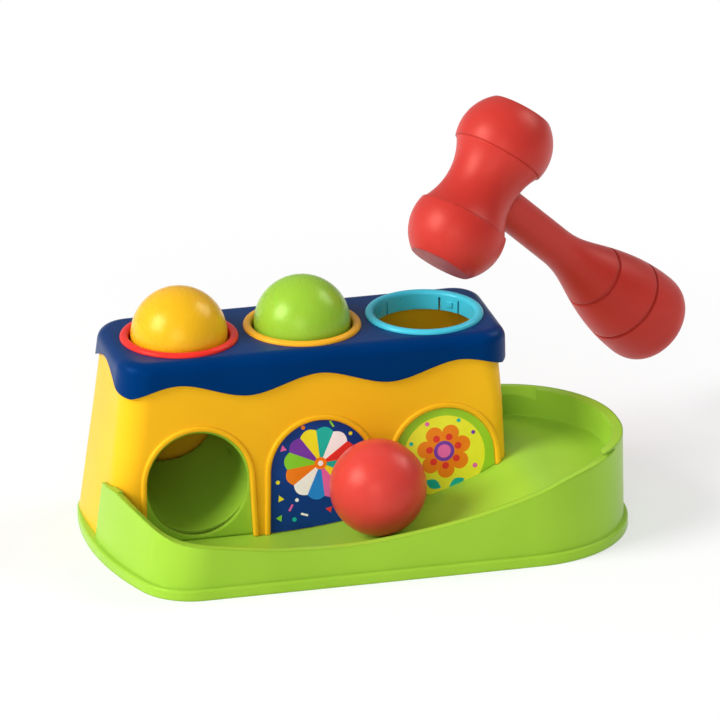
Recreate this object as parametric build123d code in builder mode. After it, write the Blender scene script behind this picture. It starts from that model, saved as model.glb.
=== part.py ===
from build123d import *
from math import cos, degrees, radians, sin, sqrt, tan
import os

# A toddler's pounding toy: a shell on a green base with three rings along its cover,
# balls that are hammered through the rings, and a trough that brings them round.
# Frame: X along the toy, Y to the back, Z up. The origin is on the floor,
# under the axis of the middle ring. All lengths are millimetres.

# Balls and rings
ball_radius = 23.0
ball_wall = 1.8
ring_pitch = 60.0
ring_inner_radius = 24.0
ring_tube_wall = 1.8
ring_bead_width = 4.2
ring_bead_height = 2.0
ring_depth = 7.2
bead_round_share = 0.9
ring_hole_gap = 0.1
ball_above_cover = 1.5
tongue_count = 4
tongue_angle = 45.0
tongue_width = 9.6
tongue_slit = 1.0
tongue_root = 0.8
lug_width = 3.2
lug_height = 2.4
lug_overlap = 0.6
ball_seat_gap = 0.35

# Housing, a tapered shell that is open below and above
housing_wall = 2.0
housing_left_foot = 106.2
housing_left_top = 93.2
housing_right_foot = 91.6
housing_right_top = 89.6
housing_half_foot = 41.0
housing_half_top = 31.9
housing_bow_foot = 3.6
housing_bow_top = 0.9
bow_middle_foot = -14.0
corner_front_left = 13.0
corner_back_left_foot = 31.0
corner_back_left_top = 14.0
corner_right_foot = 5.5
corner_right_shoulder = 6.3
shoulder_height = 60.0
corner_right_top = 13.6

# Arches on the front of the housing
arch_radius = 25.0
arch_centre_height = 34.0
arch_splay = 2.0
arch_bead_width = 2.6
arch_bead_height = 1.1
arch_bead_round = 0.9
panel_recess = 0.7
label_thickness = 0.3
label_edge_gap = 0.4

# Cover, a cap with a wavy skirt
cover_top = 93.5
cover_skin = 2.0
skirt_thickness = 1.7
skirt_gap = 0.2
cover_right = 94.0
cover_round = 6.0
cover_inner_round = 4.2
cover_corner_right = 14.5
housing_edge_drop = 4.5
skirt_low = 74.9
wave_height = 7.6
wave_length = 69.0
end_wave_low = 77.0
end_wave_height = 9.5
end_wave_length = 70.0
end_cut_start = 88.0

# Base: foot flange, trough wall, trough floor and the round lobe at the right end
flange_height = 5.2
flange_ledge = 2.0
foot_ledge_left = 3.8
foot_ledge_back = 2.6
foot_ledge_right = 3.0
trough_reach = 57.6
bow_radius = 170.0
bow_middle = -17.0
foot_corner_front = 28.0
foot_corner_back = 34.0
foot_corner_right = 6.0
lobe_nook_round = 3.0
lobe_centre_x = 91.0
lobe_radius = 56.5
lobe_straight = 4.0
wall_width_front = 4.7
wall_width_left = 8.2
wall_width_lobe = 6.4
wall_ledge_left = 2.5
wall_lean_left = 6.5
wall_draft = 1.0
wall_reach = 12.0
wedge_end = -23.3
wedge_start = 35.0
wedge_drop = 2.2
rim_left = 36.0
rim_right = 47.5
flange_edge_round = 1.2
plate_thickness = 2.2
floor_skin = 2.2

# Trough floor: level at the left, then an arc up to the lobe
floor_arc_radius = 310.0
floor_arc_start = -31.0
floor_arc_end = 75.0
lobe_floor_start = 104.0
lobe_floor_height = 33.4
track_gap = 0.66
trough_tuck = 6.5

# Red ball in the trough
red_ball_x = 21.0

# Chute behind the left arch
chute_radius = 24.5
chute_wall = 2.0
chute_slope = 0.15
chute_back_gap = 4.9
chute_mouth_in = 1.2
chute_mouth_height = 31.9
chute_panel_half = 26.6
chute_panel_top = 60.5
panel_gap = 0.3

# Ramp under the middle and right rings
ramp_left = -30.5
ramp_right = 88.5
ramp_exit_height = 35.2
ramp_slope = 0.03
ramp_thickness = 2.0
ramp_column_gap = 0.4
ramp_side_height = 7.0
exit_track = -7.0
ramp_turn_start = 42.0
exit_radius = 23.4
exit_turn = 0.3
exit_scoop_length = 24.0
exit_centre_height = 58.0
exit_sill_height = 32.0

# Screws and the bosses that they hold
screw_radius = 1.5
screw_head_radius = 2.9
screw_head_height = 1.8
screw_bite = 8.0
boss_radius = 4.2
column_radius = 4.6
column_bore = 3.3
column_seat = 74.0
column_top = 82.0
column_x = 27.5
column_in = 6.4
pad_radius = 5.5
boss_height = 12.0
boss_left_in = 5.9
boss_right_in = 5.0
boss_front_in = 15.0
boss_back_y = 12.0
boss_right_side_in = 12.0
chute_boss_spread = 12.0
chute_boss_y = 14.0
ramp_boss_left = -17.0
ramp_boss_right = 62.0
ramp_boss_y = -3.0
screw_recess = 1.0
cross_slot_width = 0.8
cross_slot_length = 3.6
cross_slot_depth = 0.9

# Hammer
hammer_x = 93.0
hammer_y = 20.0
hammer_z = 147.2
hammer_pitch = 41.5
hammer_yaw = 23.7
hammer_roll = 4.7
head_half_length = 41.9
cap_radius = 23.6
cap_rim_place = 17.0
cap_sink = 6.8
cap_wall = 2.2
waist_radius = 17.2
waist_end_radius = 22.0
waist_wall = 2.2
spigot_length = 5.0
handle_radius = 9.5
handle_straight = 62.0
hollow_start = 32.0
grip_neck_place = 88.0
grip_neck_radius = 14.5
grip_wide_in = 12.5
grip_wide_radius = 22.7
handle_length = 147.5
grip_end_radius = 10.9
handle_wall = 2.4
tenon_radius = 7.0
tenon_reach = 9.0
tenon_gap = 0.05
socket_depth_spare = 0.6
saddle_gap = 0.1
groove_width = 1.8
groove_depth = 1.0
groove_one_place = 93.5
groove_two_in = 29.5

# Cutting tools run past what they cut by this much
overrun = 5.0
seat_gap = 0.15

os.makedirs("parts", exist_ok=True)

ball_height = cover_top + ball_above_cover
cover_under = cover_top - cover_skin
housing_top = cover_under
housing_rise = housing_top - flange_height
ring_places = [-ring_pitch, 0, ring_pitch]
base_left = housing_left_foot + foot_ledge_left
base_front = housing_half_foot + trough_reach
trough_inner_edge = trough_tuck - housing_half_foot
base_back = housing_half_foot + foot_ledge_back
foot_side = housing_right_foot + foot_ledge_right
lobe_front_y = lobe_radius - base_front
base_right = lobe_centre_x + lobe_radius
tall = rim_right + wall_reach


def between(low_value, high_value, height):
    """A size of the housing at a height, between its foot and its top."""
    share = (height - flange_height) / housing_rise
    return low_value + (high_value - low_value) * share


def housing_half(height):
    return between(housing_half_foot, housing_half_top, height)


def housing_left(height):
    return between(housing_left_foot, housing_left_top, height)


def housing_right(height):
    return between(housing_right_foot, housing_right_top, height)


def corner_right(height):
    """Radius of the right corners: nearly even up to the shoulder, then growing to the top."""
    if height < shoulder_height:
        share = (height - flange_height) / (shoulder_height - flange_height)
        return corner_right_foot + (corner_right_shoulder - corner_right_foot) * share
    share = (height - shoulder_height) / (housing_top - shoulder_height)
    return corner_right_shoulder + (corner_right_top - corner_right_shoulder) * share


def nearest(sketch, x, y, height):
    """The corner of a sketch that lies nearest to a place."""
    return sketch.vertices().sort_by_distance((x, y, height))[0]


def bowed_outline(height, left, right, half, bow, bow_y, radii):
    """Plan of a long box whose left end bulges, with a radius for each corner."""
    left_corner = bow - left
    with BuildSketch(Plane.XY.offset(height)) as plan:
        with BuildLine():
            ThreePointArc((left_corner, half), (-left, bow_y), (left_corner, -half))
            Polyline((left_corner, -half), (right, -half), (right, half), (left_corner, half))
        make_face()
        corners = [(left_corner, -half), (left_corner, half), (right, -half), (right, half)]
        for (x, y), radius in zip(corners, radii):
            fillet(nearest(plan, x, y, 0), radius)
    return plan.sketch


def housing_plan(height, inset):
    radii = [
        corner_front_left - inset,
        between(corner_back_left_foot, corner_back_left_top, height) - inset,
        corner_right(height) - inset,
        corner_right(height) - inset,
    ]
    return bowed_outline(
        height,
        housing_left(height) - inset,
        housing_right(height) - inset,
        housing_half(height) - inset,
        between(housing_bow_foot, housing_bow_top, height),
        between(bow_middle_foot, 0, height),
        radii,
    )


def housing_solid(inset, foot, top):
    """The housing's outer form, or its hollow when inset by the wall."""
    heights = [foot, shoulder_height, top]
    if top <= shoulder_height:
        heights = [foot, top]
    with BuildPart() as form:
        loft(sections=[housing_plan(height, inset).face() for height in heights], ruled=True)
    return form.part


def bow_x(left, y):
    return bow_radius - left - sqrt(bow_radius**2 - (y - bow_middle) ** 2)


def base_plan(height, left, front, lobe, back, side, straight, nook):
    """Plan of the base: a bowed left end, a long front and a round lobe at the right."""
    lobe_y = lobe - front
    lobe_top = lobe_y + straight
    meet_y = lobe_top + sqrt(lobe**2 - (side - lobe_centre_x) ** 2)
    front_corner = (bow_x(left, -front), -front)
    back_corner = (bow_x(left, back), back)
    with BuildSketch(Plane.XY.offset(height)) as plan:
        with BuildLine():
            ThreePointArc(back_corner, (-left, bow_middle), front_corner)
            Line(front_corner, (lobe_centre_x, -front))
            RadiusArc((lobe_centre_x, -front), (lobe_centre_x + lobe, lobe_y), -lobe)
            Line((lobe_centre_x + lobe, lobe_y), (lobe_centre_x + lobe, lobe_top))
            RadiusArc((lobe_centre_x + lobe, lobe_top), (side, meet_y), -lobe)
            Polyline((side, meet_y), (side, back), back_corner)
        make_face()
        fillet(nearest(plan, front_corner[0], front_corner[1], 0), foot_corner_front)
        fillet(nearest(plan, back_corner[0], back_corner[1], 0), foot_corner_back)
        fillet(nearest(plan, side, back, 0), foot_corner_right)
        fillet(nearest(plan, side, meet_y, 0), nook)
    return plan.sketch


def arc_height(x):
    """Height of the trough floor on its arc."""
    run = x - floor_arc_start
    return flange_height + floor_arc_radius - sqrt(floor_arc_radius**2 - run**2)


def above_floor(lift):
    """Everything above the trough floor, raised by a lift, as a cutting tool."""
    left = -base_left - overrun
    right = base_right + overrun
    top = tall + overrun
    arc_middle = (floor_arc_start + floor_arc_end) / 2
    run = floor_arc_end - floor_arc_start
    slope = run / sqrt(floor_arc_radius**2 - run**2)
    arc_end = (floor_arc_end, arc_height(floor_arc_end) + lift)
    lobe_start = (lobe_floor_start, lobe_floor_height + lift)
    with BuildPart() as space:
        with BuildSketch(Plane.XZ.offset(-base_back - overrun)):
            with BuildLine():
                Line((left, flange_height + lift), (floor_arc_start, flange_height + lift))
                ThreePointArc(
                    (floor_arc_start, flange_height + lift),
                    (arc_middle, arc_height(arc_middle) + lift),
                    arc_end,
                )
                Spline(arc_end, lobe_start, tangents=[(1, slope), (1, 0)])
                Polyline(
                    lobe_start,
                    (right, lobe_floor_height + lift),
                    (right, top),
                    (left, top),
                    (left, flange_height + lift),
                )
            make_face()
        extrude(amount=base_back + base_front + 2 * overrun)
    return space.part


def above_front_rim():
    """Everything above the wavy rim of the trough wall's front half, as a cutting tool."""
    left_shares = [(1.05, 1.0), (0.94, 0.995), (0.87, 0.92), (0.79, 0.79), (0.63, 0.695), (0.40, 0.59), (0.14, 0.535)]
    right_shares = [
        (0.035, 0.408),
        (0.2, 0.457),
        (0.37, 0.543),
        (0.54, 0.676),
        (0.645, 0.783),
        (0.8, 0.915),
        (0.89, 0.983),
        (0.95, 1.0),
    ]
    points = [(-base_left * across, rim_left * up) for across, up in left_shares]
    points += [(base_right * across, rim_right * up) for across, up in right_shares]
    with BuildPart() as space:
        with BuildSketch(Plane.XZ.offset(-lobe_front_y)) as side:
            with BuildLine():
                Spline(*points, tangents=[(1, 0), (1, 0)])
                Polyline(
                    points[-1],
                    (base_right + overrun, rim_right),
                    (base_right + overrun, tall),
                    (points[0][0], tall),
                    points[0],
                )
            make_face()
        extrude(amount=base_front + lobe_front_y + overrun)
    return space.part


def above_lobe_rim():
    """Everything above the rim of the lobe's back half, as a cutting tool."""
    with BuildPart() as space:
        with BuildSketch(Plane.XY.offset(rim_right)):
            with BuildLine():
                Polyline(
                    (0, lobe_front_y - overrun),
                    (base_right + overrun, lobe_front_y - overrun),
                    (base_right + overrun, base_back),
                    (0, base_back),
                    close=True,
                )
            make_face()
        extrude(amount=tall - rim_right)
    return space.part


def above_wedge():
    """Everything above the falling end of the wall at the left, as a cutting tool."""
    with BuildPart() as space:
        with BuildSketch(Plane.YZ.offset(-base_left - overrun)):
            with BuildLine():
                Polyline(
                    (lobe_front_y, wedge_start),
                    (wedge_end, wedge_start - wedge_drop),
                    (base_back, wedge_start - wedge_drop),
                    (base_back, tall),
                    (lobe_front_y, tall),
                    close=True,
                )
            make_face()
        extrude(amount=base_left)
    return space.part


def box_between(low, high):
    """A block between two opposite corners."""
    size = [high_part - low_part for low_part, high_part in zip(low, high)]
    with BuildPart() as block:
        with Locations(low):
            Box(*size, align=(Align.MIN, Align.MIN, Align.MIN))
    return block.part


def arch_outline(x, extra, foot_drop):
    """Arch drawn on the housing front: a half circle on slightly splayed sides."""
    radius = arch_radius + extra
    centre = (arch_centre_height - flange_height) * front_stretch
    foot = centre + foot_drop
    foot_half = radius + foot * tan(radians(arch_splay))
    with BuildSketch() as arch:
        with BuildLine():
            ThreePointArc((x - radius, centre), (x, centre + radius), (x + radius, centre))
            Polyline(
                (x + radius, centre),
                (x + foot_half, centre - foot),
                (x - foot_half, centre - foot),
                (x - radius, centre),
            )
        make_face()
    return arch.sketch


front_slope = (housing_half_foot - housing_half_top) / housing_rise
front_stretch = sqrt(1 + front_slope**2)
front_plane = Plane(
    origin=(0, -housing_half_foot, flange_height), x_dir=(1, 0, 0), z_dir=(0, -1, front_slope)
)

# Screw places: four for the housing, two for the chute, two for the ramp
boss_front_y = boss_front_in - housing_half_foot
boss_right_y = housing_half_foot - boss_right_side_in
housing_boss_left = boss_left_in - housing_left_foot
housing_boss_right = housing_right_foot - boss_right_in
housing_boss_places = [
    (housing_boss_left, boss_front_y),
    (housing_boss_left, boss_back_y),
    (housing_boss_right, -boss_right_y),
    (housing_boss_right, boss_right_y),
]
chute_boss_places = [
    (-ring_pitch - chute_boss_spread, chute_boss_y),
    (-ring_pitch + chute_boss_spread, chute_boss_y),
]
ramp_boss_places = [(ramp_boss_left, ramp_boss_y), (ramp_boss_right, ramp_boss_y)]
base_screw_places = housing_boss_places + chute_boss_places + ramp_boss_places
column_y = housing_half_top - column_in
column_places = [(x, y) for x in (-column_x, column_x) for y in (-column_y, column_y)]
screw_seat = screw_recess + screw_head_height
pilot_radius = screw_radius + tenon_gap

# Base
wall_front = base_front - flange_ledge
wall_lobe = lobe_radius - flange_ledge
wall_left = base_left - wall_ledge_left
inner_front = wall_front - wall_width_front
inner_lobe = wall_lobe - wall_width_lobe
inner_left = wall_left - wall_width_left
inner_straight = lobe_straight + wall_width_lobe - wall_width_front
wall_top = rim_right + wall_reach
wall_back = base_back - flange_ledge
lean_share = (wall_top - flange_height) / rim_right
draft_run = wall_draft * lean_share
lean_run = wall_lean_left * lean_share


def wall_form():
    """The trough wall's outer form, leaning in towards its top."""
    foot = base_plan(
        plate_thickness,
        wall_left,
        wall_front,
        wall_lobe,
        wall_back,
        housing_right_foot,
        lobe_straight,
        seat_gap,
    )
    top = base_plan(
        wall_top,
        wall_left - lean_run,
        wall_front - draft_run,
        wall_lobe - draft_run,
        wall_back,
        housing_right_foot,
        lobe_straight,
        seat_gap,
    )
    with BuildPart() as form:
        loft(sections=[foot.face(), top.face()], ruled=True)
    return form.part


def trough_form(bottom, top, extra):
    """Upright block whose sides are the trough wall's inner face, moved in by an extra."""
    plan = base_plan(
        bottom,
        inner_left - extra,
        inner_front - extra,
        inner_lobe - extra,
        wall_back - wall_width_front,
        housing_right_foot - seat_gap,
        inner_straight,
        seat_gap,
    )
    with BuildPart() as form:
        add(plan)
        extrude(amount=top - bottom)
    return form.part


far_left = -base_left - overrun
above = tall + overrun / 2
far_right = base_right + overrun
far_front = -base_front - overrun
far_back = base_back + overrun
inner_form = trough_form(plate_thickness, above, 0)
housing_room = housing_solid(-seat_gap, flange_height, above)
room_behind = housing_room & box_between((far_left, trough_inner_edge, 0), (far_right, far_back, above))
room_above = housing_room & above_floor(0)
open_back = box_between((far_left, wedge_end, flange_height), (housing_right_foot + seat_gap, far_back, above))
under_front = box_between((far_left, far_front, -overrun), (far_right, trough_inner_edge - floor_skin, above))
under_lobe = box_between(
    (housing_right_foot + seat_gap + floor_skin, far_front, -overrun), (far_right, far_back, above)
)
under_space = (trough_form(-overrun, above, seat_gap) & (under_front + under_lobe)) - above_floor(-floor_skin)
trough_wall = (wall_form() - open_back) - inner_form
trough_wall = ((trough_wall - above_front_rim()) - above_lobe_rim()) - above_wedge()
trough_block = (inner_form - above_floor(0)) - open_back
with BuildPart() as plate_pocket_form:
    add(housing_plan(flange_height, housing_wall + foot_ledge_back))
    extrude(amount=plate_thickness - flange_height)
plate_space = plate_pocket_form.part & box_between((far_left, trough_inner_edge, 0), (far_right, far_back, above))

# The ball's way out of the housing, where it passes the end of the trough wall
with BuildPart() as exit_scoop:
    with BuildSketch(
        Plane(
            origin=(ramp_right, exit_track, exit_centre_height),
            x_dir=(exit_turn, 1, 0),
            z_dir=(1, -exit_turn, 0),
        )
    ):
        Circle(exit_radius)
    extrude(amount=exit_scoop_length)

with BuildPart() as base:
    add(
        base_plan(
            0, base_left, base_front, lobe_radius, base_back, foot_side, lobe_straight, lobe_nook_round
        )
    )
    extrude(amount=flange_height)
    fillet(base.faces().sort_by(Axis.Z)[-1].outer_wire().edges(), flange_edge_round)
    add(trough_wall)
    add(trough_block)
    add(room_behind, mode=Mode.SUBTRACT)
    add(room_above, mode=Mode.SUBTRACT)
    add(exit_scoop.part, mode=Mode.SUBTRACT)
    add(under_space, mode=Mode.SUBTRACT)
    add(plate_space, mode=Mode.SUBTRACT)
    with BuildSketch(Plane.XY):
        with Locations(*base_screw_places):
            Circle(pad_radius)
    extrude(amount=flange_height)
    with BuildSketch(Plane.XY):
        with Locations(*column_places):
            Circle(column_radius)
    extrude(amount=column_top)
    with Locations(*[(x, y, 0) for x, y in column_places]):
        Cylinder(column_bore, column_seat, align=(Align.CENTER, Align.CENTER, Align.MIN), mode=Mode.SUBTRACT)
        Cylinder(pilot_radius, column_top, align=(Align.CENTER, Align.CENTER, Align.MIN), mode=Mode.SUBTRACT)
    with Locations(*[(x, y, 0) for x, y in base_screw_places]):
        Cylinder(
            screw_head_radius + tenon_gap,
            screw_seat,
            align=(Align.CENTER, Align.CENTER, Align.MIN),
            mode=Mode.SUBTRACT,
        )
        Cylinder(pilot_radius, flange_height, align=(Align.CENTER, Align.CENTER, Align.MIN), mode=Mode.SUBTRACT)
base.part.label = "base"
export_step(base.part, "parts/base.step")


def below_floor(lift):
    """Everything under the trough floor, in front of the block's inner edge."""
    block = box_between((far_left, far_front, -overrun), (far_right, trough_inner_edge + lift, tall))
    return block - above_floor(lift)


def bead_on_front(x):
    """Rounded bead around an arch, standing proud of the housing front."""
    with BuildPart() as bead:
        with BuildSketch(front_plane.offset(-housing_wall / 2)):
            add(arch_outline(x, arch_bead_width, overrun))
            add(arch_outline(x, 0, overrun + flange_height), mode=Mode.SUBTRACT)
        extrude(amount=arch_bead_height + housing_wall / 2)
        top = bead.faces().sort_by(Axis(front_plane.origin, front_plane.z_dir))[-1]
        fillet(top.edges(), arch_bead_round)
    return bead.part


# Housing
housing_edge = cover_under - housing_edge_drop
with BuildPart() as housing_bosses:
    with BuildSketch(Plane.XY.offset(flange_height)):
        with Locations(*housing_boss_places):
            Circle(boss_radius)
    extrude(amount=boss_height)
housing_bosses_inside = housing_bosses.part & housing_solid(housing_wall / 2, 0, tall)

with BuildPart() as housing:
    add(housing_solid(0, flange_height, housing_edge))
    add(housing_solid(housing_wall, 0, tall + tall), mode=Mode.SUBTRACT)
    for x in ring_places:
        add(bead_on_front(x))
    with BuildSketch(front_plane.offset(-overrun)):
        add(arch_outline(-ring_pitch, 0, overrun))
    extrude(amount=2 * overrun, mode=Mode.SUBTRACT)
    with BuildSketch(front_plane.offset(-panel_recess)):
        add(arch_outline(0, 0, overrun))
        add(arch_outline(ring_pitch, 0, overrun))
    extrude(amount=overrun, mode=Mode.SUBTRACT)
    with BuildSketch(Plane.YZ.offset(housing_right_top - 2 * overrun)):
        with BuildLine():
            ThreePointArc(
                (exit_track - exit_radius, exit_centre_height),
                (exit_track, exit_centre_height + exit_radius),
                (exit_track + exit_radius, exit_centre_height),
            )
            Polyline(
                (exit_track + exit_radius, exit_centre_height),
                (exit_track + exit_radius, exit_sill_height),
                (exit_track - exit_radius, exit_sill_height),
                (exit_track - exit_radius, exit_centre_height),
            )
        make_face()
    extrude(amount=3 * overrun, mode=Mode.SUBTRACT)
    add(housing_bosses_inside)
    add(below_floor(seat_gap), mode=Mode.SUBTRACT)
    add(
        box_between((far_left, far_front, -2 * overrun), (far_right, far_back, flange_height)),
        mode=Mode.SUBTRACT,
    )
    with Locations(*[(x, y, flange_height) for x, y in housing_boss_places]):
        Cylinder(
            pilot_radius,
            screw_bite + screw_recess,
            align=(Align.CENTER, Align.CENTER, Align.MIN),
            mode=Mode.SUBTRACT,
        )
housing.part.label = "housing"
export_step(housing.part, "parts/housing.step")


# Cover
def cover_plan(height, out):
    """Plan of the cover's outer form, or of its hollow, at a height."""
    radii = [
        corner_front_left + out,
        between(corner_back_left_foot, corner_back_left_top, height) + out,
        cover_corner_right + out - cover_out,
        cover_corner_right + out - cover_out,
    ]
    return bowed_outline(
        height,
        housing_left(height) + out,
        cover_right - cover_out + out,
        housing_half(height) + out,
        between(housing_bow_foot, housing_bow_top, height),
        between(bow_middle_foot, 0, height),
        radii,
    )


def cover_form(out, low, high, edge_round):
    with BuildPart() as form:
        loft(sections=[cover_plan(low, out).face(), cover_plan(high, out).face()], ruled=True)
        fillet(form.faces().sort_by(Axis.Z)[-1].edges(), edge_round)
    return form.part


cover_out = skirt_gap + skirt_thickness
wave_middle = skirt_low + wave_height / 2
quarter = wave_length / 4
wave_points = []
for count in range(-6, 7):
    swing = (1, 0, -1, 0)[count % 4]
    wave_points.append((count * quarter, wave_middle + swing * wave_height / 2))
half_wave = end_wave_length / 2
end_points = [
    (-3 * half_wave, end_wave_low),
    (-half_wave, end_wave_low),
    (-half_wave / 2, end_wave_low + end_wave_height / 2),
    (0, end_wave_low + end_wave_height),
    (half_wave / 2, end_wave_low + end_wave_height / 2),
    (half_wave, end_wave_low),
    (3 * half_wave, end_wave_low),
]
skirt_foot = skirt_low - overrun
with BuildPart() as skirt_cut:
    with BuildSketch(Plane.XZ.offset(far_front)):
        with BuildLine():
            Spline(*wave_points, tangents=[(1, 0), (1, 0)])
            Polyline(
                wave_points[-1],
                (wave_points[-1][0], skirt_foot - overrun),
                (wave_points[0][0], skirt_foot - overrun),
                wave_points[0],
            )
        make_face()
    extrude(amount=-2 * far_front)
    for way in (-1, 1):
        with BuildSketch(Plane.YZ.offset(way * end_cut_start)):
            with BuildLine():
                Polyline(end_points[0], end_points[1])
                Spline(*end_points[1:6], tangents=[(1, 0), (1, 0)])
                Polyline(
                    end_points[5],
                    end_points[6],
                    (end_points[6][0], skirt_foot - overrun),
                    (end_points[0][0], skirt_foot - overrun),
                    end_points[0],
                )
            make_face()
        extrude(amount=way * (base_right - end_cut_start))

with BuildPart() as top_cover:
    add(cover_form(cover_out, skirt_foot, cover_top, cover_round))
    add(cover_form(skirt_gap, skirt_foot - overrun, cover_under, cover_inner_round), mode=Mode.SUBTRACT)
    add(skirt_cut.part, mode=Mode.SUBTRACT)
    with BuildSketch(Plane.XY.offset(column_top)):
        with Locations(*column_places):
            Circle(column_radius)
    extrude(amount=cover_under - column_top + cover_skin / 2)
    with BuildSketch(Plane.XY.offset(cover_under - overrun)):
        with Locations(*[(x, 0) for x in ring_places]):
            Circle(ring_inner_radius + ring_tube_wall + ring_hole_gap)
    extrude(amount=2 * overrun, mode=Mode.SUBTRACT)
    with Locations(*[(x, y, column_top) for x, y in column_places]):
        Cylinder(
            pilot_radius,
            screw_bite + screw_recess / 2,
            align=(Align.CENTER, Align.CENTER, Align.MIN),
            mode=Mode.SUBTRACT,
        )
top_cover.part.label = "top_cover"
export_step(top_cover.part, "parts/top_cover.step")


# Rings, each with spring tongues that hold a ball until it is struck
def ring_shape(x):
    tube_radius = ring_inner_radius + ring_tube_wall
    bead_radius = ring_inner_radius + ring_bead_width
    ring_top = cover_top + ring_bead_height
    tube_foot = cover_top - ring_depth
    snap = ring_tube_wall / 3
    with BuildPart() as ring:
        with BuildSketch(Plane(origin=(x, 0, 0), x_dir=(1, 0, 0), z_dir=(0, -1, 0))) as profile:
            with BuildLine():
                Polyline(
                    (ring_inner_radius, tube_foot),
                    (tube_radius, tube_foot),
                    (tube_radius, cover_under - 3 * snap),
                    (tube_radius + snap, cover_under - 2 * snap),
                    (tube_radius, cover_under - snap / 2),
                    (tube_radius, cover_top),
                    (bead_radius, cover_top),
                    (bead_radius, ring_top),
                    (ring_inner_radius, ring_top),
                    close=True,
                )
            make_face()
            rim_corners = profile.vertices().filter_by_position(Axis.Y, ring_top - snap, ring_top + snap)
            fillet(rim_corners, ring_bead_height * bead_round_share)
        revolve(axis=Axis((x, 0, 0), (0, 0, 1)))
        with Locations((x, 0, tube_foot)):
            for side in (-1, 1):
                slit_angle = degrees(side * (tongue_width + tongue_slit) / 2 / ring_inner_radius)
                with PolarLocations(tube_radius, tongue_count, start_angle=tongue_angle + slit_angle):
                    Box(
                        ring_bead_width,
                        tongue_slit,
                        2 * (ring_depth - tongue_root),
                        mode=Mode.SUBTRACT,
                    )
        lug_reach = ring_inner_radius - ball_radius - ball_seat_gap
        with Locations((x, 0, tube_foot + lug_height)):
            with PolarLocations(ring_inner_radius - lug_reach, tongue_count, start_angle=tongue_angle):
                Box(
                    lug_reach + lug_overlap,
                    lug_width,
                    lug_height,
                    align=(Align.MIN, Align.CENTER, Align.MIN),
                )
    return ring.part


with BuildPart() as ring_left:
    add(ring_shape(-ring_pitch))
ring_left.part.label = "ring_left"
export_step(ring_left.part, "parts/ring_left.step")
with BuildPart() as ring_middle:
    add(ring_shape(0))
ring_middle.part.label = "ring_middle"
export_step(ring_middle.part, "parts/ring_middle.step")
with BuildPart() as ring_right:
    add(ring_shape(ring_pitch))
ring_right.part.label = "ring_right"
export_step(ring_right.part, "parts/ring_right.step")


# Labels in the two closed arches
def label_shape(x):
    with BuildPart() as plate:
        with BuildSketch(front_plane.offset(-panel_recess)):
            add(arch_outline(x, -label_edge_gap, 0))
        extrude(amount=label_thickness)
        add(below_floor(label_edge_gap), mode=Mode.SUBTRACT)
    return plate.part


with BuildPart() as label_middle:
    add(label_shape(0))
label_middle.part.label = "label_middle"
export_step(label_middle.part, "parts/label_middle.step")
with BuildPart() as label_right:
    add(label_shape(ring_pitch))
label_right.part.label = "label_right"
export_step(label_right.part, "parts/label_right.step")

# Chute behind the left arch: a panel with a tube that rises to the back
chute_mouth_y = chute_mouth_in - housing_half(chute_mouth_height)
chute_back_y = housing_half(chute_panel_top) - housing_wall - chute_back_gap
chute_length = (chute_back_y - chute_mouth_y) * sqrt(1 + chute_slope**2)
chute_plane = Plane(
    origin=(-ring_pitch, chute_mouth_y, chute_mouth_height), x_dir=(1, 0, 0), z_dir=(0, 1, chute_slope)
)
panel_plane = front_plane.offset(-housing_wall - panel_gap)
panel_foot = seat_gap + 2 * chute_wall * front_slope
with BuildPart() as left_chute:
    with BuildSketch(panel_plane):
        with BuildLine():
            Polyline(
                (-ring_pitch - chute_panel_half, panel_foot),
                (-ring_pitch + chute_panel_half, panel_foot),
                (-ring_pitch + chute_panel_half, chute_panel_top - flange_height),
                (-ring_pitch - chute_panel_half, chute_panel_top - flange_height),
                close=True,
            )
        make_face()
    extrude(amount=-chute_wall)
    with BuildSketch(chute_plane):
        Circle(chute_radius + chute_wall)
    extrude(amount=chute_length)
    with BuildSketch(panel_plane):
        Rectangle(2 * base_right, 2 * base_right)
    extrude(amount=chute_radius, mode=Mode.SUBTRACT)
    with BuildSketch(Plane.XY.offset(flange_height)):
        with Locations(*chute_boss_places):
            Circle(boss_radius)
    extrude(amount=chute_mouth_height - flange_height)
    with BuildSketch(chute_plane.offset(-2 * overrun)):
        Circle(chute_radius)
    extrude(amount=chute_length + 4 * overrun, mode=Mode.SUBTRACT)
    with BuildSketch(Plane.XY.offset(chute_mouth_height)):
        with Locations((-ring_pitch, 0)):
            Circle(chute_radius + seat_gap)
    extrude(amount=tall, mode=Mode.SUBTRACT)
    with Locations(*[(x, y, flange_height) for x, y in chute_boss_places]):
        Cylinder(
            pilot_radius,
            screw_bite + screw_recess / 2,
            align=(Align.CENTER, Align.CENTER, Align.MIN),
            mode=Mode.SUBTRACT,
        )
left_chute.part.label = "left_chute"
export_step(left_chute.part, "parts/left_chute.step")


# Ramp under the middle and right rings
ramp_half_width = column_y - column_radius - ramp_column_gap


def ramp_plan(inset, past_end):
    half = ramp_half_width - inset
    with BuildSketch() as plan:
        with BuildLine():
            Polyline(
                (ramp_left + inset, -half),
                (ramp_turn_start, -half),
                (ramp_right + past_end, exit_track - half),
                (ramp_right + past_end, exit_track + half),
                (ramp_turn_start, half),
                (ramp_left + inset, half),
                close=True,
            )
        make_face()
    return plan.sketch


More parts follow.
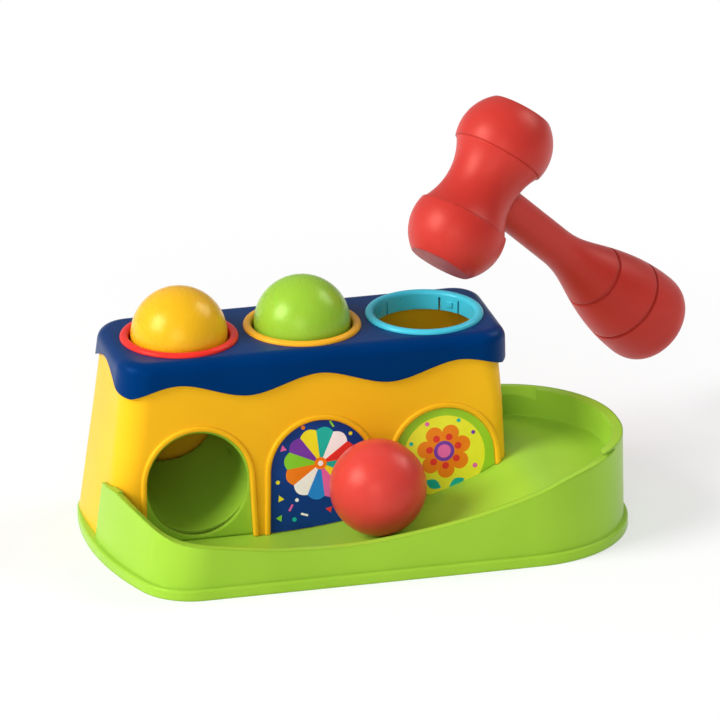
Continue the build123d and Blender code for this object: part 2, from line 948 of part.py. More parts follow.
def ramp_band(low, high):
    """Sloping slab between two distances from the ramp's floor."""
    rise = ramp_slope * (ramp_right - ramp_left)
    run = ramp_slope * overrun
    with BuildPart() as band:
        with BuildSketch(Plane.XZ.offset(far_front)):
            with BuildLine():
                Polyline(
                    (ramp_left - overrun, ramp_exit_height + rise + run + low),
                    (ramp_right + overrun, ramp_exit_height - run + low),
                    (ramp_right + overrun, ramp_exit_height - run + high),
                    (ramp_left - overrun, ramp_exit_height + rise + run + high),
                    close=True,
                )
            make_face()
        extrude(amount=-2 * far_front)
    return band.part


with BuildPart() as ramp_outer:
    add(ramp_plan(0, 0))
    extrude(amount=tall)
with BuildPart() as ramp_inner:
    add(ramp_plan(ramp_thickness, overrun))
    extrude(amount=tall)
with BuildPart() as ramp_legs:
    with BuildSketch(Plane.XY.offset(flange_height)):
        with Locations(*ramp_boss_places):
            Circle(boss_radius)
    extrude(amount=ramp_exit_height - flange_height + ramp_side_height)
ramp_legs_cut = ramp_legs.part - ramp_band(-ramp_thickness / 2, 2 * tall)
ramp_body = ramp_outer.part & ramp_band(-ramp_thickness, ramp_side_height)
ramp_channel = ramp_inner.part & ramp_band(0, 2 * ramp_side_height)
with BuildPart() as inner_ramp:
    add(ramp_body)
    add(ramp_channel, mode=Mode.SUBTRACT)
    add(ramp_legs_cut)
    with Locations(*[(x, y, flange_height) for x, y in ramp_boss_places]):
        Cylinder(
            pilot_radius,
            screw_bite + screw_recess / 2,
            align=(Align.CENTER, Align.CENTER, Align.MIN),
            mode=Mode.SUBTRACT,
        )
inner_ramp.part.label = "inner_ramp"
export_step(inner_ramp.part, "parts/inner_ramp.step")


# Balls
def ball_shape(x, y, z):
    with BuildPart() as ball:
        with Locations((x, y, z)):
            Sphere(ball_radius)
            Sphere(ball_radius - ball_wall, mode=Mode.SUBTRACT)
    return ball.part


with BuildPart() as ball_yellow:
    add(ball_shape(-ring_pitch, 0, ball_height))
ball_yellow.part.label = "ball_yellow"
export_step(ball_yellow.part, "parts/ball_yellow.step")
with BuildPart() as ball_green:
    add(ball_shape(0, 0, ball_height))
ball_green.part.label = "ball_green"
export_step(ball_green.part, "parts/ball_green.step")
roll_radius = floor_arc_radius - ball_radius - ball_seat_gap
roll_run = red_ball_x - floor_arc_start
red_ball_z = flange_height + floor_arc_radius - sqrt(roll_radius**2 - roll_run**2)
track_line = -housing_half(red_ball_z) - arch_bead_height - ball_radius - track_gap
with BuildPart() as ball_red:
    add(ball_shape(red_ball_x, track_line, red_ball_z))
ball_red.part.label = "ball_red"
export_step(ball_red.part, "parts/ball_red.step")


# Screws, driven from below
def screw_shape(places, head_foot, length):
    low = (Align.CENTER, Align.CENTER, Align.MIN)
    with BuildPart() as screws:
        with Locations(*[(x, y, head_foot) for x, y in places]):
            Cylinder(screw_head_radius, screw_head_height, align=low)
            Cylinder(screw_radius, screw_head_height + length, align=low)
            Box(cross_slot_length, cross_slot_width, cross_slot_depth, align=low, mode=Mode.SUBTRACT)
            Box(cross_slot_width, cross_slot_length, cross_slot_depth, align=low, mode=Mode.SUBTRACT)
    return screws.part


cover_screw_length = column_top - column_seat + screw_bite
with BuildPart() as cover_screws:
    add(screw_shape(column_places, column_seat - screw_head_height, cover_screw_length))
cover_screws.part.label = "cover_screws"
export_step(cover_screws.part, "parts/cover_screws.step")
base_screw_length = flange_height - screw_seat + screw_bite
with BuildPart() as base_screws:
    add(screw_shape(base_screw_places, screw_recess, base_screw_length))
base_screws.part.label = "base_screws"
export_step(base_screws.part, "parts/base_screws.step")

# Hammer, drawn on a plane through its head and handle
pitch = radians(hammer_pitch)
yaw = radians(hammer_yaw)
roll = radians(hammer_roll)
grip_way = Vector(cos(pitch) * cos(yaw), cos(pitch) * sin(yaw), -sin(pitch))
up_way = Vector(sin(pitch) * cos(yaw), sin(pitch) * sin(yaw), cos(pitch))
side_way = Vector(-sin(yaw), cos(yaw), 0)
head_way = up_way * cos(roll) + side_way * sin(roll)
head_centre = Vector(hammer_x, hammer_y, hammer_z)
hammer_plane = Plane(origin=head_centre, x_dir=grip_way, z_dir=grip_way.cross(head_way))
head_axis = Axis(head_centre, head_way)
grip_axis = Axis(head_centre, grip_way)


def across_grip(distance):
    return Plane(origin=head_centre + grip_way * distance, x_dir=head_way, z_dir=grip_way)


def waist_profile(inset):
    """Half section of the hammer's waist: a concave side between two flat ends."""
    with BuildSketch(hammer_plane) as profile:
        with BuildLine():
            ThreePointArc(
                (waist_end_radius - inset, -cap_rim_place),
                (waist_radius - inset, 0),
                (waist_end_radius - inset, cap_rim_place),
            )
            Polyline(
                (waist_end_radius - inset, cap_rim_place),
                (0, cap_rim_place),
                (0, -cap_rim_place),
                (waist_end_radius - inset, -cap_rim_place),
            )
        make_face()
    return profile.sketch


grip_wide_place = handle_length - grip_wide_in
groove_two_place = handle_length - groove_two_in
cap_centre = cap_rim_place + cap_sink
cap_rim_radius = sqrt(cap_radius**2 - cap_sink**2)
cap_inner_radius = cap_radius - cap_wall
cap_inner_rim = sqrt(cap_inner_radius**2 - cap_sink**2)
cap_face_place = head_half_length
cap_face_edge = sqrt(cap_radius**2 - (cap_face_place - cap_centre) ** 2)
cap_inner_place = cap_face_place - cap_wall
cap_inner_edge = sqrt(cap_inner_radius**2 - (cap_inner_place - cap_centre) ** 2)
spigot_foot = cap_rim_place - waist_wall / 2
spigot_end = cap_rim_place + spigot_length
socket_floor = tenon_reach - socket_depth_spare
socket_radius = tenon_radius + tenon_gap

with BuildPart() as waist_middle:
    add(waist_profile(waist_wall / 2))
    revolve(axis=head_axis)
with BuildPart() as socket_boss:
    with BuildSketch(across_grip(socket_floor - waist_wall)):
        Circle(handle_radius - seat_gap)
    extrude(amount=2 * waist_radius)
socket_in_waist = socket_boss.part & waist_middle.part
with BuildPart() as hammer_waist:
    add(waist_profile(0))
    revolve(axis=head_axis)
    add(waist_profile(waist_wall))
    revolve(axis=head_axis, mode=Mode.SUBTRACT)
    with BuildSketch(hammer_plane):
        for way in (-1, 1):
            with BuildLine():
                Polyline(
                    (cap_inner_rim - seat_gap - waist_wall, way * spigot_foot),
                    (cap_inner_rim - seat_gap, way * spigot_foot),
                    (cap_inner_rim - seat_gap, way * spigot_end),
                    (cap_inner_rim - seat_gap - waist_wall, way * spigot_end),
                    close=True,
                )
            make_face()
    revolve(axis=head_axis)
    add(socket_in_waist)
    with BuildSketch(across_grip(socket_floor)):
        Circle(socket_radius)
    extrude(amount=2 * waist_radius, mode=Mode.SUBTRACT)
    with BuildSketch(across_grip(socket_floor - 2 * waist_wall)):
        Circle(pilot_radius)
    extrude(amount=waist_radius, mode=Mode.SUBTRACT)
hammer_waist.part.label = "hammer_waist"
export_step(hammer_waist.part, "parts/hammer_waist.step")


def cap_shape(way):
    """Round cap on one end of the head, with a flat striking face."""
    middle = cap_centre + cap_radius * cos(radians(60))
    middle_radius = cap_radius * sin(radians(60))
    inner_middle = cap_centre + cap_inner_radius * cos(radians(60))
    inner_middle_radius = cap_inner_radius * sin(radians(60))
    with BuildPart() as cap:
        with BuildSketch(hammer_plane):
            with BuildLine():
                ThreePointArc(
                    (cap_rim_radius, way * cap_rim_place),
                    (cap_radius, way * cap_centre),
                    (middle_radius, way * middle),
                )
                ThreePointArc(
                    (middle_radius, way * middle),
                    (
                        cap_radius * sin(radians(45)),
                        way * (cap_centre + cap_radius * cos(radians(45))),
                    ),
                    (cap_face_edge, way * cap_face_place),
                )
                Polyline(
                    (cap_face_edge, way * cap_face_place),
                    (0, way * cap_face_place),
                    (0, way * cap_inner_place),
                    (cap_inner_edge, way * cap_inner_place),
                )
                ThreePointArc(
                    (cap_inner_edge, way * cap_inner_place),
                    (inner_middle_radius, way * inner_middle),
                    (cap_inner_radius, way * cap_centre),
                )
                ThreePointArc(
                    (cap_inner_radius, way * cap_centre),
                    (
                        sqrt(cap_inner_radius**2 - (cap_sink / 2) ** 2),
                        way * (cap_centre - cap_sink / 2),
                    ),
                    (cap_inner_rim, way * cap_rim_place),
                )
                Line((cap_inner_rim, way * cap_rim_place), (cap_rim_radius, way * cap_rim_place))
            make_face()
        revolve(axis=head_axis)
    return cap.part


with BuildPart() as hammer_cap_upper:
    add(cap_shape(1))
hammer_cap_upper.part.label = "hammer_cap_upper"
export_step(hammer_cap_upper.part, "parts/hammer_cap_upper.step")
with BuildPart() as hammer_cap_lower:
    add(cap_shape(-1))
hammer_cap_lower.part.label = "hammer_cap_lower"
export_step(hammer_cap_lower.part, "parts/hammer_cap_lower.step")


def handle_profile(inset, start, finish):
    """Half section of the handle: a straight shank, a flare and a rounded end."""
    wide = (grip_wide_place, grip_wide_radius - inset)
    end = (finish, grip_end_radius - inset)
    with BuildSketch(hammer_plane) as profile:
        with BuildLine():
            Line((start, 0), (start, handle_radius - inset))
            Line((start, handle_radius - inset), (handle_straight, handle_radius - inset))
            Spline(
                (handle_straight, handle_radius - inset),
                (grip_neck_place, grip_neck_radius - inset),
                wide,
                tangents=[(1, 0), (1, 0)],
            )
            Spline(wide, end, tangents=[(1, 0), (0, -1)])
            Polyline(end, (finish, 0), (start, 0))
        make_face()
    return profile.sketch


with BuildPart() as groove_bottom:
    add(handle_profile(groove_depth, waist_radius / 2, handle_length))
    revolve(axis=grip_axis)


def groove_ring(place):
    """A groove round the grip, of the same depth all round."""
    with BuildPart() as groove:
        with BuildSketch(across_grip(place - groove_width / 2)):
            Circle(grip_wide_radius + overrun)
        extrude(amount=groove_width)
        add(groove_bottom.part, mode=Mode.SUBTRACT)
    return groove.part


groove_one = groove_ring(groove_one_place)
groove_two = groove_ring(groove_two_place)
with BuildPart() as waist_room:
    add(waist_profile(-saddle_gap))
    revolve(axis=head_axis)
with BuildPart() as hammer_handle:
    add(handle_profile(0, waist_radius / 2, handle_length))
    revolve(axis=grip_axis)
    add(waist_room.part, mode=Mode.SUBTRACT)
    with BuildSketch(across_grip(tenon_reach)):
        Circle(tenon_radius)
    extrude(amount=waist_end_radius)
    add(handle_profile(handle_wall, hollow_start, handle_length - handle_wall))
    revolve(axis=grip_axis, mode=Mode.SUBTRACT)
    add(groove_one, mode=Mode.SUBTRACT)
    add(groove_two, mode=Mode.SUBTRACT)
    with BuildSketch(across_grip(0)):
        Circle(pilot_radius)
    extrude(amount=socket_floor + screw_bite + tenon_reach, mode=Mode.SUBTRACT)
hammer_handle.part.label = "hammer_handle"
export_step(hammer_handle.part, "parts/hammer_handle.step")

with BuildPart() as hammer_screw:
    with BuildSketch(across_grip(socket_floor - waist_wall)):
        Circle(screw_head_radius)
    extrude(amount=-screw_head_height)
    with BuildSketch(across_grip(socket_floor - waist_wall)):
        Circle(screw_radius)
    extrude(amount=waist_wall + socket_depth_spare + screw_bite)
    with BuildSketch(across_grip(socket_floor - waist_wall - screw_head_height)):
        Rectangle(cross_slot_length, cross_slot_width)
        Rectangle(cross_slot_width, cross_slot_length)
    extrude(amount=cross_slot_depth, mode=Mode.SUBTRACT)
hammer_screw.part.label = "hammer_screw"
export_step(hammer_screw.part, "parts/hammer_screw.step")
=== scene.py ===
from math import cos, pi, radians, sin

import bpy
from mathutils import Matrix, Vector


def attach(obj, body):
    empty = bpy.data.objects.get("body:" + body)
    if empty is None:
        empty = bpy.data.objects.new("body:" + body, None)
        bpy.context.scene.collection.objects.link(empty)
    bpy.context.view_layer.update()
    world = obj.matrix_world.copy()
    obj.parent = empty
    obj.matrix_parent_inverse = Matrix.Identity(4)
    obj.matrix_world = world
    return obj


# A pounding toy: a trough with a round lobe, a tapered housing with three rings in its cover, three
# balls and a hammer. All shapes come from the frame but the prints on the two labels, which are
# made here. Each solid gets its material, and the studio stands round them.

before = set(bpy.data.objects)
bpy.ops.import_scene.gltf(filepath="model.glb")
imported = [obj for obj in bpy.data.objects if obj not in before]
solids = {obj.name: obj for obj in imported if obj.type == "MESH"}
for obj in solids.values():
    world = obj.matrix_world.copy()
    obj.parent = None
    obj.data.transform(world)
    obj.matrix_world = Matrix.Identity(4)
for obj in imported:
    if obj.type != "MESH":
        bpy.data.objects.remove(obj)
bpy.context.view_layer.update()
MM = 0.001


def linear(code):
    """An sRGB hex colour as the linear colour that a shader takes."""
    parts = [int(code[i:i + 2], 16) / 255 for i in (1, 3, 5)]
    shares = [p / 12.92 if p <= 0.04045 else ((p + 0.055) / 1.055) ** 2.4 for p in parts]
    return (*shares, 1.0)


def add_node(tree, kind, values=(), links=(), **settings):
    """Adds a node with its settings, its socket values and its incoming links."""
    node = tree.nodes.new(kind)
    for key, value in settings.items():
        setattr(node, key, value)
    for socket, value in dict(values).items():
        node.inputs[socket].default_value = value
    for socket, source in dict(links).items():
        tree.links.new(source, node.inputs[socket])
    return node


def new_material(name):
    material = bpy.data.materials.new(name)
    material.use_nodes = True
    material.node_tree.nodes.clear()
    return material, material.node_tree


# Moulded plastic: what all the toy's mouldings have in common
PLASTIC_IOR = 1.5
FLOW_MM = 45  # the size of a flow patch in the dye
FLOW_LOW, FLOW_HIGH = 0.35, 0.62  # the levels of the flow at the deeper and at the plain colour
PEEL_STRENGTH = 0.35
MARK_MM = 3.5  # the spacing of handling marks
MARK_STRETCH = (1.0, 0.25, 0.6)  # draws the marks out along the piece
MARK_LOW, MARK_HIGH = 0.3, 0.75
RUBBED, DULLED = 0.03, 0.06  # how much a mark takes off the roughness or adds to it
EDGE_SAMPLES = 6
MILK_MM = 8  # how far red light goes under the skin of the balls
MILK_REACH = (1.0, 0.45, 0.25)  # and the shares of that for red, green and blue


def moulded_plastic(name, colour, deeper, sheen, roughness, specular,
                    grain_mm, grain_depth_mm, edge_mm, milky=0.0):
    """Moulded toy plastic. The dye is even but for faint flow patches, the mould leaves a fine orange
    peel that breaks up the highlight, handling leaves soft marks in the gloss, and every edge is
    rounded by the tool, so that it catches a thin line of light. The skin is not quite clear, so the
    broad sheen that it throws straight back keeps some of the dye."""
    material, tree = new_material(name)
    place = add_node(tree, "ShaderNodeTexCoord").outputs["Object"]
    # flow patches
    flow = add_node(
        tree, "ShaderNodeTexNoise",
        {"Scale": 1 / (FLOW_MM * MM), "Detail": 1.5, "Roughness": 0.4},
        {"Vector": place})
    tint = add_node(tree, "ShaderNodeValToRGB", {}, {"Fac": flow.outputs["Fac"]})
    low, high = tint.color_ramp.elements
    low.position = FLOW_LOW
    low.color = linear(deeper)
    high.position = FLOW_HIGH
    high.color = linear(colour)
    # orange peel of the mould's satin finish, drawn coarser than real so that it shows
    peel = add_node(
        tree, "ShaderNodeTexNoise",
        {"Scale": 1 / (grain_mm * MM), "Detail": 2.0, "Roughness": 0.5},
        {"Vector": place})
    # handling marks in the gloss
    drawn_out = add_node(tree, "ShaderNodeMapping", {"Scale": MARK_STRETCH}, {"Vector": place})
    marks = add_node(
        tree, "ShaderNodeTexNoise",
        {"Scale": 1 / (MARK_MM * MM), "Detail": 4.0, "Roughness": 0.65},
        {"Vector": drawn_out.outputs["Vector"]})
    gloss = add_node(
        tree, "ShaderNodeMapRange",
        {"From Min": MARK_LOW, "From Max": MARK_HIGH,
         "To Min": roughness - RUBBED, "To Max": roughness + DULLED},
        {"Value": marks.outputs["Fac"]})
    # the rounded edges, with the orange peel over them
    edge = add_node(tree, "ShaderNodeBevel", {"Radius": edge_mm * MM}, samples=EDGE_SAMPLES)
    bump = add_node(
        tree, "ShaderNodeBump",
        {"Strength": PEEL_STRENGTH, "Distance": grain_depth_mm * MM},
        {"Height": peel.outputs["Fac"], "Normal": edge.outputs["Normal"]})
    shader = add_node(
        tree, "ShaderNodeBsdfPrincipled",
        {"IOR": PLASTIC_IOR, "Specular IOR Level": specular, "Specular Tint": linear(sheen),
         "Subsurface Weight": milky, "Subsurface Radius": MILK_REACH,
         "Subsurface Scale": MILK_MM * MM},
        {"Base Color": tint.outputs["Color"], "Roughness": gloss.outputs["Result"],
         "Normal": bump.outputs["Normal"]})
    add_node(tree, "ShaderNodeOutputMaterial", {}, {"Surface": shader.outputs["BSDF"]})
    return material


# ABS, injection moulded with a satin finish: the base, the tube and the ramp in leaf green, whose
# edges are the roundest
leaf_green = moulded_plastic(
    "abs_moulded_leaf_green", "#99C43A", "#93BE36", "#B8E860",
    roughness=0.32, specular=0.40, grain_mm=1.1, grain_depth_mm=0.02, edge_mm=1.6)

# The same plastic in warm yellow, a little duller: the housing
sun_yellow = moulded_plastic(
    "abs_moulded_sun_yellow", "#F5B820", "#F0B11D", "#FFD24A",
    roughness=0.38, specular=0.35, grain_mm=1.1, grain_depth_mm=0.02, edge_mm=0.9)

# The same plastic in navy: so dark that its weak sheen shows as a paler blue on the top and corners
navy_blue = moulded_plastic(
    "abs_moulded_navy_blue", "#002F66", "#002C60", "#2C6FC0",
    roughness=0.32, specular=0.18, grain_mm=1.1, grain_depth_mm=0.02, edge_mm=0.9)

# ABS from a better polished mould: the three rings, small and bright, with the finest grain
ring_finish = {
    "roughness": 0.30, "specular": 0.40, "grain_mm": 0.9, "grain_depth_mm": 0.015, "edge_mm": 0.4,
}
ring_red = moulded_plastic("abs_moulded_ring_red", "#E8322C", "#E02E28", "#FF8A70", **ring_finish)
ring_amber = moulded_plastic("abs_moulded_ring_amber", "#F0AC2A", "#EAA626", "#FFD070", **ring_finish)
ring_cyan = moulded_plastic("abs_moulded_ring_cyan", "#45BDD2", "#3FB6CB", "#B0F0FF", **ring_finish)

# Polyethylene, blow moulded: the balls. It is milky, so light goes a little way in and softens the
# shade, and its skin is smooth, with a broad highlight and a long, shallow peel
ball_finish = {"grain_mm": 1.6, "grain_depth_mm": 0.01, "edge_mm": 0.3}
ball_amber = moulded_plastic(
    "polyethylene_blown_ball_yellow", "#EBB01A", "#E6AA18", "#FFE9A0",
    roughness=0.27, specular=0.45, milky=0.3, **ball_finish)
ball_lime = moulded_plastic(
    "polyethylene_blown_ball_green", "#93BE34", "#8DB930", "#E4F8B0",
    roughness=0.27, specular=0.45, milky=0.3, **ball_finish)
ball_scarlet = moulded_plastic(
    "polyethylene_blown_ball_red", "#D4423A", "#CE3E36", "#FFB0A0",
    roughness=0.32, specular=0.40, milky=0.45, **ball_finish)

# Polyethylene, blow moulded with a coarser skin: the hammer, in one red with a wide pinkish sheen
hammer_red = moulded_plastic(
    "polyethylene_blown_hammer_red", "#C0322A", "#B92E26", "#FFA89C",
    roughness=0.40, specular=0.55, grain_mm=1.3, grain_depth_mm=0.03, edge_mm=1.1)


# Printed vinyl
CLOUD_MM = 16  # the cloudiness of the print
CLOUD_LOW, CLOUD_HIGH = 0.36, 0.66
WAVE_MM = 6  # the film's waviness, from crest to crest
WAVE_DEPTH_MM = 0.05
WAVE_STRENGTH = 0.2
FILM_ROUGHNESS = 0.36
FILM_SPECULAR = 0.15


def printed_film(name, ink, shade):
    """Printed vinyl sticker. The ink lies under a thin clear film, with a faint cloudiness of the
    print, and the film waves a little over its glue, so that its sheen is soft and uneven."""
    material, tree = new_material(name)
    place = add_node(tree, "ShaderNodeTexCoord").outputs["Object"]
    cloud = add_node(
        tree, "ShaderNodeTexNoise",
        {"Scale": 1 / (CLOUD_MM * MM), "Detail": 3.0},
        {"Vector": place})
    tint = add_node(tree, "ShaderNodeValToRGB", {}, {"Fac": cloud.outputs["Fac"]})
    low, high = tint.color_ramp.elements
    low.position = CLOUD_LOW
    low.color = linear(shade)
    high.position = CLOUD_HIGH
    high.color = linear(ink)
    wave = add_node(
        tree, "ShaderNodeTexNoise",
        {"Scale": 1 / (WAVE_MM * MM), "Detail": 1.0},
        {"Vector": place})
    bump = add_node(
        tree, "ShaderNodeBump",
        {"Strength": WAVE_STRENGTH, "Distance": WAVE_DEPTH_MM * MM},
        {"Height": wave.outputs["Fac"]})
    shader = add_node(
        tree, "ShaderNodeBsdfPrincipled",
        {"Roughness": FILM_ROUGHNESS, "IOR": PLASTIC_IOR, "Specular IOR Level": FILM_SPECULAR},
        {"Base Color": tint.outputs["Color"], "Normal": bump.outputs["Normal"]})
    add_node(tree, "ShaderNodeOutputMaterial", {}, {"Surface": shader.outputs["BSDF"]})
    return material


# Vinyl, printed all over: the two labels' grounds
navy_ink = printed_film("vinyl_printed_navy_ground", "#103F8E", "#0D387F")
lime_ink = printed_film("vinyl_printed_lime_ground", "#A2D02C", "#98C828")

# The same film with the inks of the prints, each flat and bright
inks = {
    "white": printed_film("vinyl_ink_white", "#FFFFFF", "#F6F6F2"),
    "yellow": printed_film("vinyl_ink_yellow", "#F6EA2C", "#EFE024"),
    "orange": printed_film("vinyl_ink_orange", "#FA8A1E", "#F27E16"),
    "red": printed_film("vinyl_ink_red", "#EE3E34", "#E4342C"),
    "pink": printed_film("vinyl_ink_pink", "#F070B4", "#E862A8"),
    "violet": printed_film("vinyl_ink_violet", "#8444B4", "#7638A6"),
    "blue": printed_film("vinyl_ink_blue", "#2E94E6", "#2486DA"),
    "teal": printed_film("vinyl_ink_teal", "#22BFAE", "#1CB1A0"),
    "lime": printed_film("vinyl_ink_lime", "#8FD834", "#84CE2C"),
    "lemon": printed_film("vinyl_ink_lemon", "#F6F03A", "#EFE832"),
}

TURNING_MM = 0.6  # turning marks, drawn coarser than real so that they show
STEEL_SMOOTH, STEEL_ROUGH = 0.28, 0.45


def plated_steel(name, colour):
    """Zinc-plated steel: a bright grey metal whose fine turning marks blur the highlight."""
    material, tree = new_material(name)
    place = add_node(tree, "ShaderNodeTexCoord").outputs["Object"]
    turning = add_node(
        tree, "ShaderNodeTexNoise",
        {"Scale": 1 / (TURNING_MM * MM), "Detail": 2.0},
        {"Vector": place})
    rough = add_node(
        tree, "ShaderNodeMapRange",
        {"To Min": STEEL_SMOOTH, "To Max": STEEL_ROUGH},
        {"Value": turning.outputs["Fac"]})
    shader = add_node(
        tree, "ShaderNodeBsdfPrincipled",
        {"Base Color": linear(colour), "Metallic": 1.0},
        {"Roughness": rough.outputs["Result"]})
    add_node(tree, "ShaderNodeOutputMaterial", {}, {"Surface": shader.outputs["BSDF"]})
    return material


# Steel, turned and zinc plated: the screws, down in their wells
screw_zinc = plated_steel("steel_zinc_plated_screw", "#C4C8CC")

dress = {
    "base": leaf_green, "left_chute": leaf_green, "inner_ramp": leaf_green,
    "housing": sun_yellow, "top_cover": navy_blue,
    "ring_left": ring_red, "ring_middle": ring_amber, "ring_right": ring_cyan,
    "label_middle": navy_ink, "label_right": lime_ink,
    "ball_yellow": ball_amber, "ball_green": ball_lime, "ball_red": ball_scarlet,
    "hammer_waist": hammer_red, "hammer_cap_upper": hammer_red, "hammer_cap_lower": hammer_red,
    "hammer_handle": hammer_red, "hammer_screw": screw_zinc,
    "cover_screws": screw_zinc, "base_screws": screw_zinc,
}
for name, material in dress.items():
    solid = solids[name]
    solid.data.materials.clear()
    solid.data.materials.append(material)

# Prints on the two labels: flat shapes of ink, laid on the label's own plane. Their places and
# sizes are in millimetres from the middle of the print.
LAYER_MM = 0.03  # one layer of ink over the next
FACING_FRONT = -0.9  # the y of a normal that looks to the front


def label_frame(name, centre_x, centre_z):
    """The label's front plane: a point on it, its two directions and its normal."""
    faces = [face for face in solids[name].data.polygons if face.normal.y < FACING_FRONT]
    front = max(faces, key=lambda face: face.area)
    normal = front.normal.normalized()
    across = Vector((1, 0, 0))
    up = normal.cross(across)
    centre = Vector((centre_x * MM, 0, centre_z * MM))
    centre.y = -(centre - front.center).dot(normal) / normal.y
    return centre, across, up, normal


def circle(x, y, radius, count=48):
    angles = [2 * pi * i / count for i in range(count)]
    return [(x + radius * cos(angle), y + radius * sin(angle)) for angle in angles]


def turned(points, angle, x, y):
    """Points turned by an angle in degrees, then moved."""
    c, s = cos(radians(angle)), sin(radians(angle))
    return [(x + c * a - s * b, y + s * a + c * b) for a, b in points]


def print_on(name, plane, shapes):
    """One print: each shape is an ink, a layer and an outline."""
    centre, across, up, normal = plane
    mesh = bpy.data.meshes.new(name)
    points, faces, fills = [], [], []
    names = sorted({ink for ink, layer, outline in shapes})
    for ink, layer, outline in shapes:
        first = len(points)
        lift = (LAYER_MM + LAYER_MM * layer) * MM
        points += [centre + across * (a * MM) + up * (b * MM) + normal * lift for a, b in outline]
        faces.append(list(range(first, len(points))))
        fills.append(names.index(ink))
    mesh.from_pydata(points, [], faces)
    for ink in names:
        mesh.materials.append(inks[ink])
    for face, fill in zip(mesh.polygons, fills):
        face.material_index = fill
    piece = bpy.data.objects.new(name, mesh)
    bpy.context.scene.collection.objects.link(piece)
    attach(piece, "toy")


LABEL_Z = 34  # the height of both prints' middles
RIGHT_LABEL_X = 60
DOT_POINTS = 20  # the points round a small dot

# Middle label: a parasol of straight bright sectors with a scalloped edge, and paper confetti
PARASOL_X, PARASOL_Y = -0.5, 3.5
PARASOL_RADIUS = 16.4
PARASOL_TURN = 0.1
SCALLOP_DEPTH = 1.5
SCALLOP_STEPS = 8
KNOB_RADIUS, KNOB_TIP_RADIUS = 3.0, 1.3
sector_inks = [
    "red", "white", "teal", "yellow", "violet", "lime",
    "orange", "white", "blue", "pink", "yellow", "teal",
]
sector = 2 * pi / len(sector_inks)
parasol = []
for count, ink in enumerate(sector_inks):
    start = count * sector + PARASOL_TURN
    outline = [(PARASOL_X, PARASOL_Y)]
    for step in range(SCALLOP_STEPS + 1):
        share = step / SCALLOP_STEPS
        angle = start + sector * share
        reach = PARASOL_RADIUS + SCALLOP_DEPTH * sin(pi * share)
        outline.append((PARASOL_X + reach * cos(angle), PARASOL_Y + reach * sin(angle)))
    parasol.append((ink, 0, outline))
parasol.append(("orange", 1, circle(PARASOL_X, PARASOL_Y, KNOB_RADIUS)))
parasol.append(("white", 2, circle(PARASOL_X, PARASOL_Y, KNOB_TIP_RADIUS)))
flag = [(-1.6, -1.2), (1.6, -1.2), (0, 1.8)]
bar = [(-1.8, -0.5), (1.8, -0.5), (1.8, 0.5), (-1.8, 0.5)]
for ink, shape, angle, x, y in [
    ("yellow", flag, 20, -20.5, -12),
    ("pink", bar, 60, -15.5, -17),
    ("lime", flag, -35, -21, -21.5),
    ("white", bar, -20, -9, -21),
    ("teal", flag, 170, 18.5, -13.5),
    ("orange", bar, 35, 20.5, -20),
    ("yellow", bar, 80, 12, -18.5),
    ("red", flag, 75, 3, -19.5),
    ("pink", flag, 10, -18.5, 12.5),
    ("teal", bar, 40, 19, 10.5),
    ("lime", bar, -60, 5.5, 22.4),
]:
    parasol.append((ink, 0, turned(shape, angle, x, y)))
for ink, x, y, radius in [
    ("yellow", -21.5, -4, 1.0),
    ("white", -12.5, -13.5, 0.9),
    ("teal", -14, -23, 1.1),
    ("pink", 20.8, -6.5, 1.1),
    ("lime", 14, -23.0, 1.0),
    ("white", 20.5, 1.5, 0.8),
    ("orange", -8.5, 21.8, 1.0),
    ("yellow", 14.5, 16.8, 0.9),
]:
    parasol.append((ink, 0, circle(x, y, radius, DOT_POINTS)))
print_on("label_print_parasol", label_frame("label_middle", 0, LABEL_Z), parasol)

# Right label: a round-petalled flower on a pale disc, with two leaves and dots
DISC_Y = 1.0
DISC_RADIUS = 20.0
FLOWER_Y = 3.5
PETALS = 7
PETAL_TURN = 0.3
NOTCH_RADIUS = 9.3  # from the flower's middle to the notch between two petals
PETAL_LENGTH = 4.0  # and from there to a petal's tip
PETAL_ROUNDNESS = 0.6  # below 1 the petals' tips are broad and the notches narrow
ROSETTE_POINTS = 168  # the whole outline of the petals in one
PETAL_DOT_RING = 7.2  # one red dot on each petal, at this radius
PETAL_DOT_RADIUS = 1.7
EYE_RADIUS, EYE_CORE_RADIUS = 5.0, 3.3
LEAF_WIDTH = 2.3  # half of the leaf's full width
LEAF_LENGTH = 8.5
LEAF_STEPS = 12
LEAF_FOOT_X, LEAF_FOOT_Y = 2, -14.5
flower = [("lemon", 0, circle(0, DISC_Y, DISC_RADIUS, 72))]
rosette = []
for step in range(ROSETTE_POINTS):
    angle = 2 * pi * step / ROSETTE_POINTS
    swell = abs(cos(PETALS / 2 * (angle - PETAL_TURN))) ** PETAL_ROUNDNESS
    reach = NOTCH_RADIUS + PETAL_LENGTH * swell
    rosette.append((reach * cos(angle), FLOWER_Y + reach * sin(angle)))
flower.append(("orange", 1, rosette))
for count in range(PETALS):
    angle = count * 2 * pi / PETALS + PETAL_TURN
    x = PETAL_DOT_RING * cos(angle)
    y = FLOWER_Y + PETAL_DOT_RING * sin(angle)
    flower.append(("red", 2, circle(x, y, PETAL_DOT_RADIUS, 24)))
flower.append(("violet", 3, circle(0, FLOWER_Y, EYE_RADIUS, 40)))
flower.append(("pink", 4, circle(0, FLOWER_Y, EYE_CORE_RADIUS, 32)))
leaf_side = [
    (LEAF_WIDTH * sin(pi * i / LEAF_STEPS), LEAF_LENGTH * i / LEAF_STEPS)
    for i in range(1, LEAF_STEPS)
]
leaf = [(0, 0)] + leaf_side + [(0, LEAF_LENGTH)] + [(-a, b) for a, b in reversed(leaf_side)]
flower.append(("teal", 1, turned(leaf, 60, -LEAF_FOOT_X, LEAF_FOOT_Y)))
